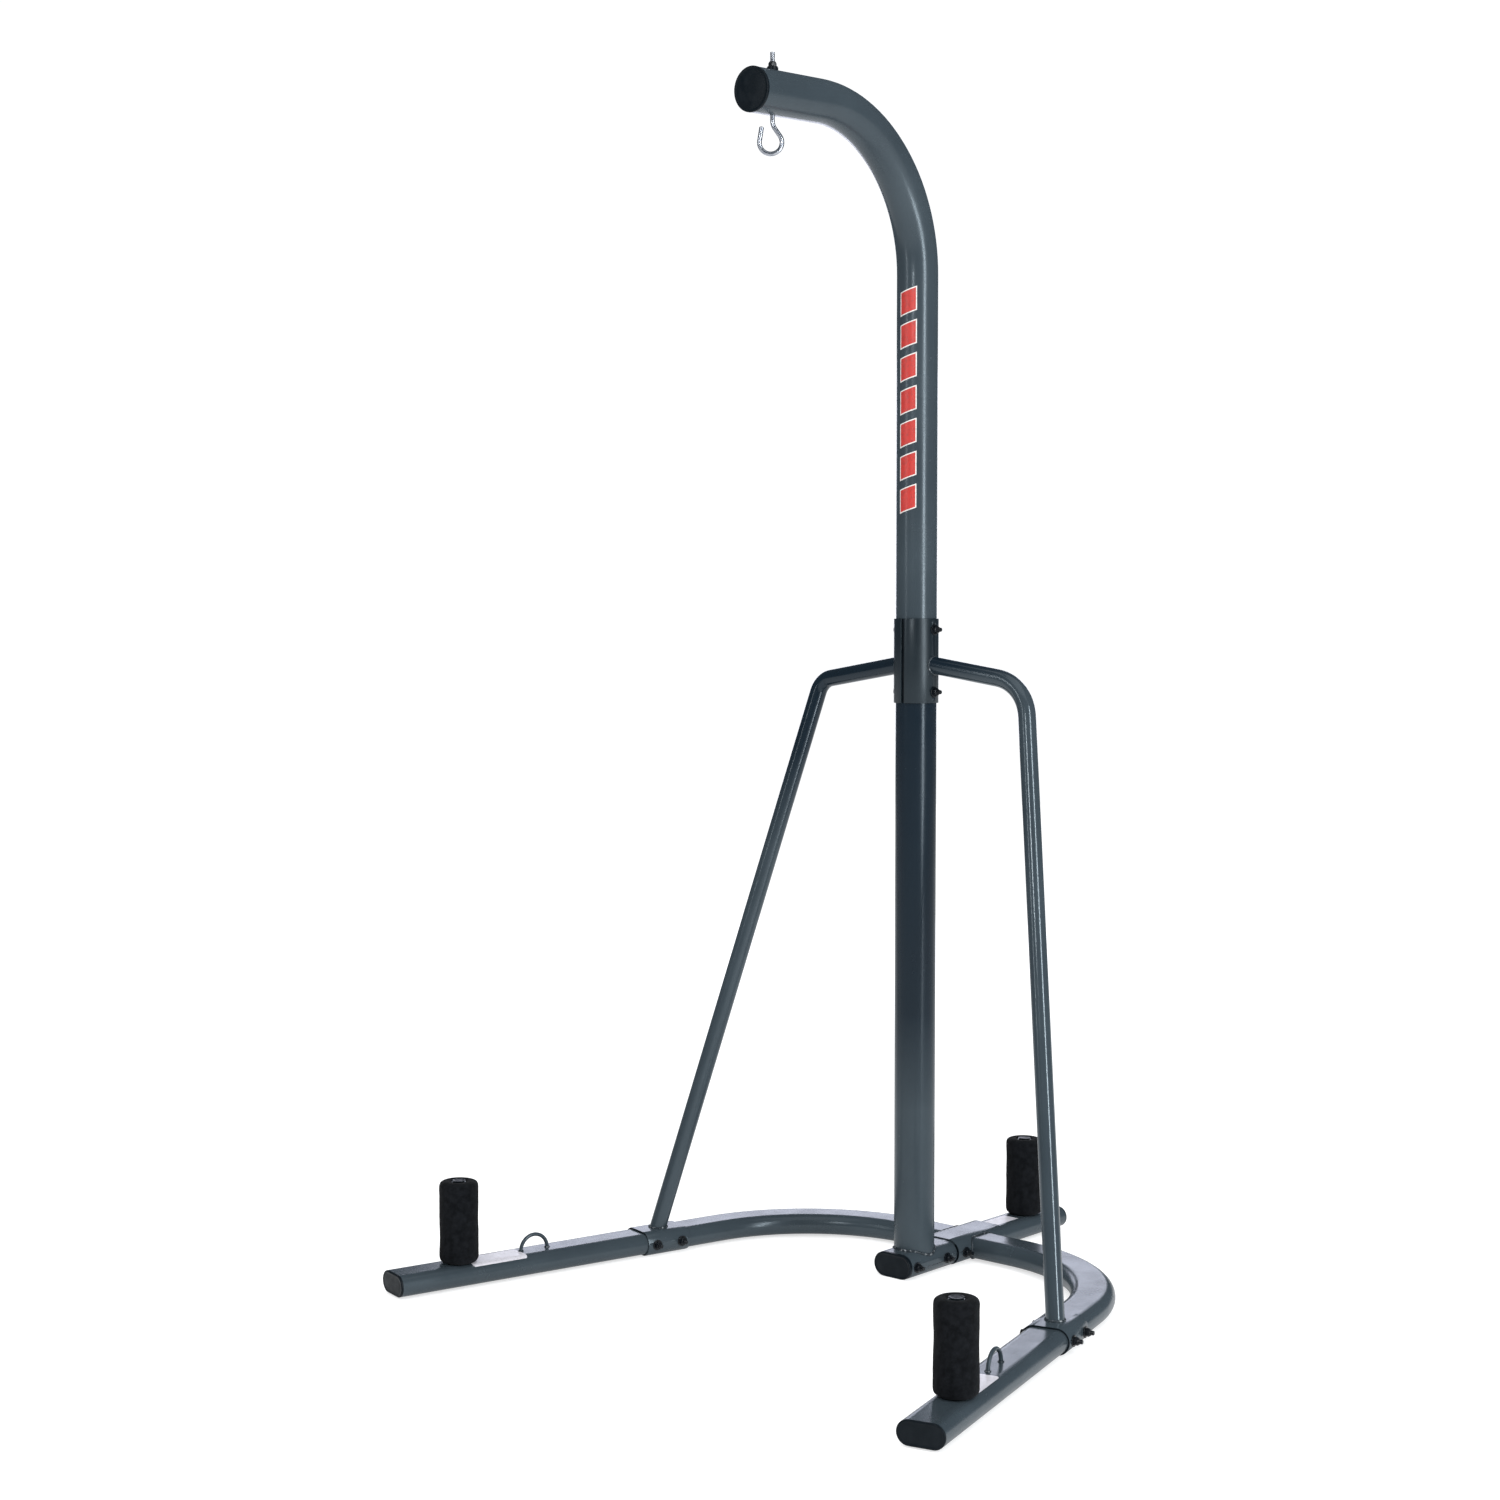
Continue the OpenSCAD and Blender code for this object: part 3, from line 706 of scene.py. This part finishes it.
def worn(start, end, length, grow, drift):
    """Place of a skin point: swollen up to a cap, grown, then softly dented. The bore keeps its place."""
    move = end - start
    if move.length > FOAM_SWELL:
        move *= FOAM_SWELL / move.length
    radius = math.hypot(start.x, start.y)
    free = min(1.0, max(0.0, (radius - FOAM_HELD_R) / (FOAM_FREE_R - FOAM_HELD_R)))
    point = start + move * free
    point += Vector((point.x, point.y, 0)) * grow * free
    out = Vector((point.x, point.y, 0)).normalized()
    soft = sum(noise.noise(start * waves + drift) * depth for waves, depth in DENTS)
    waist = FOAM_WAIST * math.cos(math.tau * (start.z / length - 0.1))
    point += out * (soft + waist) * free
    point.z = min(max(point.z, 0.2 * MM), length + 0.3 * MM)
    return point


def foam_sleeve(node, body, seed):
    """Closed-cell sleeve on a peg: crowned by the cloth, then dented and pitted like worn foam."""
    length = size(node).z
    piece = foam_blank(f"{node}_sleeve", middle(node) - Vector((0, 0, length / 2)), length)
    remesh = piece.modifiers.new("even", "REMESH")
    remesh.mode = "VOXEL"
    remesh.voxel_size = 4 * MM
    applied(piece)
    rest = [v.co.copy() for v in piece.data.vertices]
    settled = swell(piece)
    drift = Vector((seed * 3.7, seed * 1.3, seed * 2.1))
    grow = growth(settled, length)
    for vertex, start, end in zip(piece.data.vertices, rest, settled, strict=True):
        vertex.co = worn(start, end, length, grow, drift)
    piece.data.materials.append(FOAM)
    piece.data.shade_smooth()
    fine = piece.modifiers.new("fine", "SUBSURF")
    fine.levels = fine.render_levels = 1
    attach(piece, body)
    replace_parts(piece, node)


def make_foams():
    for seed, word in enumerate(("left", "right", "rear"), 1):
        foam_sleeve(f"foam_{word}", f"{word}_foam", seed)


# ---------- Hook details ----------


def make_hook_thread():
    """Thread on the shank, above the nut and below the arm."""
    axis = middle("hook_nut")
    place = Matrix.Translation((axis.x, axis.y, 0))
    above = (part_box("hook_nut")[1][2] - 1 * MM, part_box("hook")[1][2])
    below = (ARM_UNDER - 8.4 * MM, ARM_UNDER)
    bm = bmesh.new()
    for ends in (above, below):
        loft(bm, [moved(ring, place) for ring in thread_rings(*ends, HOOK_THREAD_R)])
    new_object("hook_thread", bm, ZINC, "hook_assembly", sharp=25)


def make_hook_hardware():
    """Lock nut and washer on the hook's shank."""
    axis = middle("hook_nut")
    place = Matrix.Translation((axis.x, axis.y, 0))
    nut, ring = bmesh.new(), bmesh.new()
    loft(nut, [moved(points, place) for points in nut_rings(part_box("hook_nut")[0][2])])
    stand_in("hook_nut", nut, BLACK_STEEL, "hook_assembly", sharp=25)
    low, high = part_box("hook_washer")
    washer(ring, HOOK_WASHER_R, low[2], high[2], place)
    stand_in("hook_washer", ring, BLACK_STEEL, "hook_assembly", sharp=25)


def make_hook_tip():
    """Rounded tip of the hook's rod."""
    place = Matrix.Translation(HOOK_TIP) @ HOOK_TIP_HEADING.to_track_quat("Z", "Y").to_matrix().to_4x4()
    outline = [(THREAD_R, -0.6 * MM)]
    for k in range(1, 9):
        a = math.radians(90 * k / 8)
        outline.append((4.02 * MM * math.cos(a) + 0.05 * MM, 2.2 * MM * math.sin(a)))
    bm = bmesh.new()
    lathe(bm, outline, place, steps=32)
    new_object("hook_tip", bm, ZINC, "hook_assembly", sharp=60)


# ---------- Welds ----------


def oval_height(across, width, height):
    """Height of an oval tube's upper surface above its axis, at a distance across it."""
    half = width / 2 - height / 2
    beyond = max(0.0, abs(across) - half)
    return math.sqrt(max(0.0, (height / 2) ** 2 - beyond**2))


def turn_points(function, count=96):
    return [function(math.tau * k / count) for k in range(count)]


def weld_post_foot():
    def place(a):
        x, y = POST_R * math.cos(a), POST_R * math.sin(a)
        return (x, POST_Y + y, TUBE_Z + oval_height(x, SLEEVE_W, SLEEVE_H) + 0.6 * MM)

    weld_bead("weld_post_foot", turn_points(place), 2.7 * MM)


def tube_circle(axis, radius):
    """Two directions across an axis, scaled to a tube's radius."""
    across = axis.cross(Vector((0, 0, 1))).normalized()
    return across * radius, axis.cross(across).normalized() * radius


def weld_braces():
    for side, word in SIDES:
        head, corner, foot = (Vector((side * p.x, p.y, p.z)) for p in (BRACE_HEAD, BRACE_CORNER, BRACE_FOOT))
        axis = (foot - corner).normalized()
        u, v = tube_circle(axis, BRACE_R)

        def on_sleeve(a, foot=foot, axis=axis, u=u, v=v):
            p = foot + u * math.cos(a) + v * math.sin(a)
            return p + axis * (SLEEVE_TOP + 0.5 * MM - p.z) / axis.z

        weld_bead(f"weld_brace_foot_{word}", turn_points(on_sleeve), 2.4 * MM)
        run = (corner - head).normalized()
        u2, v2 = tube_circle(run, BRACE_R)

        def on_collar(a, head=head, run=run, u=u2, v=v2):
            p = head + u * math.cos(a) + v * math.sin(a)
            x, y = p.x, p.y - POST_Y
            b = x * run.x + y * run.y
            flat = run.x**2 + run.y**2
            c = x * x + y * y - (COLLAR_R + 0.4 * MM) ** 2
            return p + run * (-b + math.sqrt(b * b - flat * c)) / flat

        weld_bead(f"weld_brace_head_{word}", turn_points(on_collar), 2.2 * MM)


def weld_rings():
    for side, word in SIDES:
        for end in (-1, 1):
            centre = on_leg(side, 0, RING_AT + RING_R * end, OVAL_TOP + 0.3 * MM)
            points = [centre + p for p in circle(RING_ROD_R + 0.4 * MM, 0, 24)]
            weld_bead(f"weld_ring_{word}_{'front' if end < 0 else 'back'}", points, 1.5 * MM, ripple=2 * MM)


def weld_rear_tubes():
    for side, word in SIDES:
        points = []
        for x, z in oval_outline(OVAL_W, OVAL_H, 0, 24):
            out = HUB_W / 2 - HUB_H / 2 + math.sqrt((HUB_H / 2) ** 2 - z**2)
            points.append((side * (out + 0.4 * MM), HUB_JOINT_Y + x, TUBE_Z + z))
        weld_bead(f"weld_rear_tube_{word}", points, 2.6 * MM)


# ---------- Films ----------


def film(name, patches, surface, material):
    """Thin film of patches, each a grid of (u, v) points laid on a surface that also takes a height."""
    bm = bmesh.new()
    for rows in patches:
        outer = [[bm.verts.new(surface(u, v, 1)) for u, v in row] for row in rows]
        inner = [[bm.verts.new(surface(u, v, 0)) for u, v in row] for row in rows]
        tall, wide = len(rows), len(rows[0])
        for i in range(tall - 1):
            for j in range(wide - 1):
                bm.faces.new((outer[i][j], outer[i][j + 1], outer[i + 1][j + 1], outer[i + 1][j]))
                bm.faces.new((inner[i][j], inner[i + 1][j], inner[i + 1][j + 1], inner[i][j + 1]))
        rim = [(0, j) for j in range(wide)] + [(i, wide - 1) for i in range(1, tall)]
        rim += [(tall - 1, j) for j in range(wide - 2, -1, -1)] + [(i, 0) for i in range(tall - 2, 0, -1)]
        for (a, b), (c, d) in zip(rim, rim[1:] + rim[:1], strict=True):
            bm.faces.new((outer[a][b], inner[a][b], inner[c][d], outer[c][d]))
    new_object(name, bm, material, sharp=60)


def spaced(start, end, count):
    """Numbers from start to end, count equal steps apart."""
    return [start + (end - start) * k / count for k in range(count + 1)]


def grid(across, along):
    """Grid of (u, v) points: a row for each v."""
    return [[(u, v) for u in across] for v in along]


def slanted(left, right, bottom, top, slant, columns=14, inset=0.0):
    """Grid of a slanted block whose right side stands higher than its left."""
    rows = []
    for v in (bottom + inset, (bottom + top) / 2, top - inset):
        places = spaced(left + inset, right - inset, columns)
        rows.append([(u, v + slant * ((u - left) / (right - left) - 0.5)) for u in places])
    return rows


def round_post(turn, lift, sink=0.1 * MM):
    """Surface round the post, whose u starts at a turn from the front and whose v is the height."""

    def surface(u, v, height):
        r = POST_R + (lift if height else -sink)
        a = turn + u / POST_R
        return Vector((r * math.sin(a), POST_Y - r * math.cos(a), v))

    return surface


def film_top(u, width, height, outer, lift=0.2 * MM, sink=0.1 * MM):
    """Height of a film's outer or inner face over an oval tube, at a distance across it."""
    return TUBE_Z + oval_height(u, width, height) + (lift if outer else -sink)


def make_decal():
    """Column of slanted red blocks edged in white, wrapped round the front of the post."""
    edges, fills = [], []
    for k in range(DECAL_BLOCKS):
        bottom = DECAL_BOTTOM + k * DECAL_PITCH
        shape = (-DECAL_W / 2, DECAL_W / 2, bottom, bottom + DECAL_H, DECAL_SLANT)
        edges.append(slanted(*shape))
        fills.append(slanted(*shape, inset=DECAL_EDGE))
    film("decal_edges", edges, round_post(DECAL_TURN, 0.12 * MM), WHITE)
    film("decal_fills", fills, round_post(DECAL_TURN, 0.22 * MM), RED)


def make_seam_shade():
    """Painted shade: dark strips on the post in the two seams of the collar."""
    low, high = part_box("collar_left")
    half = (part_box("collar_right")[0][0] - high[0]) / 2
    rows = grid(spaced(-half, half, 4), (low[2], COLLAR_Z, high[2]))
    for word, turn in (("front", 0), ("back", math.pi)):
        film(f"seam_{word}", [rows], round_post(turn, 0.2 * MM, sink=0.2 * MM), BLACK_PLASTIC)


def label(name, side, low, high, left, right):
    """Blank pale label on a leg's top, wrapped over the tube's round side where it is wider than the flat."""

    def surface(u, v, height):
        return on_leg(side, u, v, film_top(u, OVAL_W, OVAL_H, height))

    corner = 3 * MM
    rows = []
    for v in (low, low + corner, (low + high) / 2, high - corner, high):
        pull = corner if v in (low, high) else 0
        rows.append([(u, v) for u in spaced(left + pull, right - pull, 16)])
    film(name, [rows], surface, LABEL)


def make_labels():
    for name, place in LABELS.items():
        label(name, *place)

    def on_rail(u, v, height):
        return Vector((u, v, film_top(u, OVAL_W, OVAL_H, height)))

    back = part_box("hub")[1][1]
    start, end = RAIL_LABEL
    rows = grid(spaced(-RAIL_LABEL_HALF, RAIL_LABEL_HALF, 4), spaced(back + start, back + end, 2))
    film("label_rail", [rows], on_rail, LABEL)


def make_hub_shade_line():
    """Painted shade: a dark line along the hub's left shoulder."""
    low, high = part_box("hub")

    def surface(u, v, height):
        return Vector((u, v, film_top(u, HUB_W, HUB_H, height, lift=0.3 * MM)))

    ends = (low[1] + 1 * MM, high[1] - 1 * MM)
    film("hub_shade_line", [grid(spaced(*HUB_SHADE_LINE, 3), ends)], surface, BLACK_PLASTIC)


# ---------- Softer edges on the CAD tubes ----------


def soften_edges():
    for node in ("collar_left", "collar_right", "leg_sleeve_left", "leg_sleeve_right", "hub", "post_foot"):
        piece = nodes[node]
        weld = piece.modifiers.new("weld", "WELD")
        weld.merge_threshold = 0.01 * MM
        bevel = piece.modifiers.new("soft_edge", "BEVEL")
        bevel.width = 0.5 * MM
        bevel.segments = 2
        bevel.limit_method = "ANGLE"
        bevel.angle_limit = math.radians(50)


# ---------- Floor, light and camera ----------


def make_stage():
    bm = bmesh.new()
    bmesh.ops.create_circle(bm, cap_ends=True, segments=96, radius=12)
    mesh = bpy.data.meshes.new("studio_floor")
    bm.to_mesh(mesh)
    bm.free()
    mesh.materials.append(pale_floor())
    floor = bpy.data.objects.new("studio_floor", mesh)
    bpy.context.scene.collection.objects.link(floor)


def area_light(name, place, target, width, height, power, color=(1, 1, 1)):
    light = bpy.data.lights.new(name, "AREA")
    light.shape = "RECTANGLE"
    light.size, light.size_y = width, height
    light.energy = power
    light.color = color
    lamp = bpy.data.objects.new(name, light)
    lamp.location = place
    lamp.rotation_euler = (Vector(target) - Vector(place)).to_track_quat("-Z", "Y").to_euler()
    lamp.visible_camera = False
    bpy.context.scene.collection.objects.link(lamp)


def make_lights():
    """A white room that glossy surfaces see dark, so that the strips and panels draw the highlights."""
    world = bpy.data.worlds.new("studio")
    bpy.context.scene.world = world
    world.use_nodes = True
    tree = world.node_tree
    white = tree.nodes["Background"]
    white.inputs["Color"].default_value = (0.98, 0.99, 1.0, 1)
    white.inputs["Strength"].default_value = 1.06
    dark = tree.nodes.new("ShaderNodeBackground")
    dark.inputs["Color"].default_value = (0.085, 0.11, 0.135, 1)
    dark.inputs["Strength"].default_value = 1.0
    path = tree.nodes.new("ShaderNodeLightPath")
    mix = tree.nodes.new("ShaderNodeMixShader")
    tree.links.new(path.outputs["Is Glossy Ray"], mix.inputs["Fac"])
    tree.links.new(white.outputs["Background"], mix.inputs[1])
    tree.links.new(dark.outputs["Background"], mix.inputs[2])
    tree.links.new(mix.outputs["Shader"], tree.nodes["World Output"].inputs["Surface"])
    area_light("key_strip", (4.3, -0.7, 2.1), (0, 0.1, 1.7), 0.6, 4.6, 180, (0.95, 0.98, 1.0))
    area_light("fill_strip", (-1.6, -3.6, 2.35), (0, 0.1, 1.75), 0.22, 2.0, 14)
    area_light("brace_box", (1.0, -4.0, 2.85), (0.35, 0.0, 0.8), 0.4, 0.8, 30)
    area_light("back_panel", (-3.4, 4.2, 1.5), (0, 0.2, 0.3), 3.4, 1.6, 45, (0.86, 0.86, 1.0))
    area_light("top_soft", (0.5, -0.6, 4.6), (0, 0, 0.2), 3.5, 3.5, 35)


CAMERA_PLACE = (2.6697, POST_Y - 3.4669, 1.2066)
CAMERA_TILT, CAMERA_TURN = math.radians(90 - 2.948), math.radians(41.645)
CAMERA_LENS, CAMERA_SENSOR = 56.34, 36


def make_camera():
    """Camera at chest height, to the right of the front and tilted slightly down."""
    camera = bpy.data.cameras.new("camera")
    camera.sensor_width = CAMERA_SENSOR
    camera.lens = CAMERA_LENS
    camera.clip_end = 100
    body = bpy.data.objects.new("camera", camera)
    body.location = CAMERA_PLACE
    body.rotation_euler = (CAMERA_TILT, 0, CAMERA_TURN)
    bpy.context.scene.collection.objects.link(body)
    bpy.context.scene.camera = body


bpy.context.scene.view_settings.view_transform = "Standard"
make_stage()
make_lights()
make_camera()
dress_frame()
soften_edges()
make_hardware()
make_arm_cap()
make_oval_caps()
make_peg_caps()
make_foams()
make_hook_thread()
make_hook_hardware()
make_hook_tip()
weld_post_foot()
weld_braces()
weld_rings()
weld_rear_tubes()
make_seam_shade()
make_decal()
make_labels()
make_hub_shade_line()
